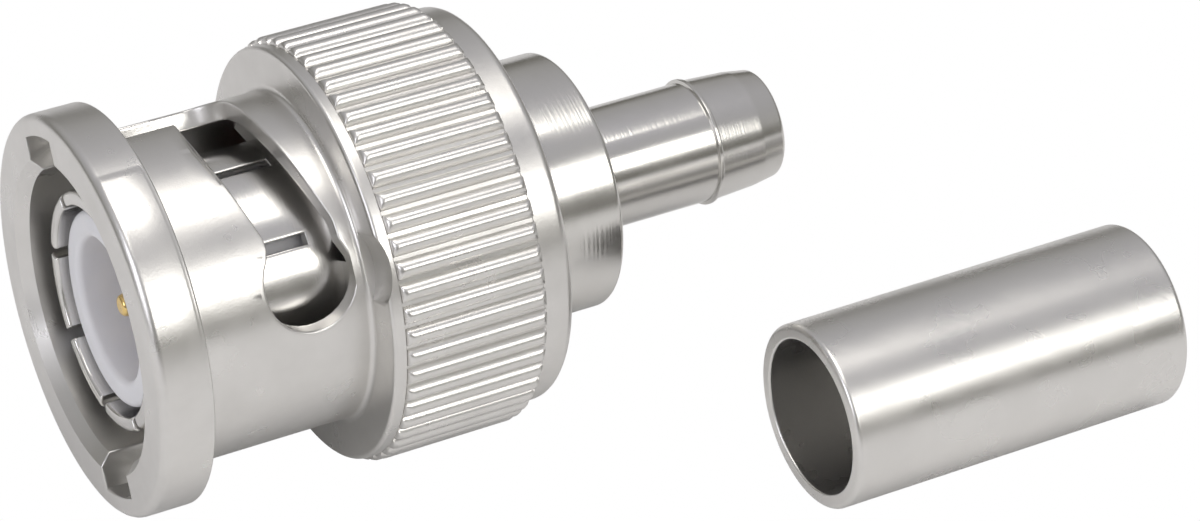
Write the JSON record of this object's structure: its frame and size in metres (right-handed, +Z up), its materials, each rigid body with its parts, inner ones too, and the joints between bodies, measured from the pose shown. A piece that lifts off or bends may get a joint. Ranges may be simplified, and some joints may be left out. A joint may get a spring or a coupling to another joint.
{
  "type": "bnc connector",
  "caption": "Crimp-type coaxial bayonet plug on its side: turning ridged nut with two slots, slotted outer contact, insulator, centre pin, and its loose crimp ferrule.",
  "frame": {"origin": "on the plug's axis, at the front face of the slotted outer contact", "axes": "+X along the plug's axis, out of the mating end; +Z up, with the plug lying on its grip ridges"},
  "size_m": [0.0338, 0.0214, 0.0144],
  "materials": {
    "nut_plating": "satin nickel plating over brass",
    "contact_plating": "bright nickel plating over bronze",
    "body_plating": "bright nickel plating over brass",
    "ptfe": "translucent white",
    "gold_plating": "gold plating over brass",
    "silicone": "matt dark red",
    "spring_steel": "rolled",
    "ferrule_plating": "satin nickel plating over annealed brass"
  },
  "bodies": {
    "body": {"outer_contact": "contact_plating", "rear_body": "body_plating", "insulator": "ptfe", "centre_contact": "gold_plating", "gasket": "silicone", "wave_washer_front": "spring_steel", "wave_washer_rear": "spring_steel", "crimp_ferrule": "ferrule_plating"},
    "slip_washer": {"thrust_washer": "spring_steel"},
    "nut": {"coupling_nut": "nut_plating"}
  },
  "joints": [
    {"name": "nut_slide", "type": "slide", "parent": "body", "child": "slip_washer", "axis": [1, 0, 0], "range_m": [0, 0.0005], "stiffness_N_per_m": 60, "springref_m": -0.001, "deforming": ["wave_washer_front", "wave_washer_rear"]},
    {"name": "nut_turn", "type": "hinge", "parent": "slip_washer", "child": "nut", "pos_m": [-0.01, 0, 0], "axis": [1, 0, 0], "continuous": true}
  ]
}
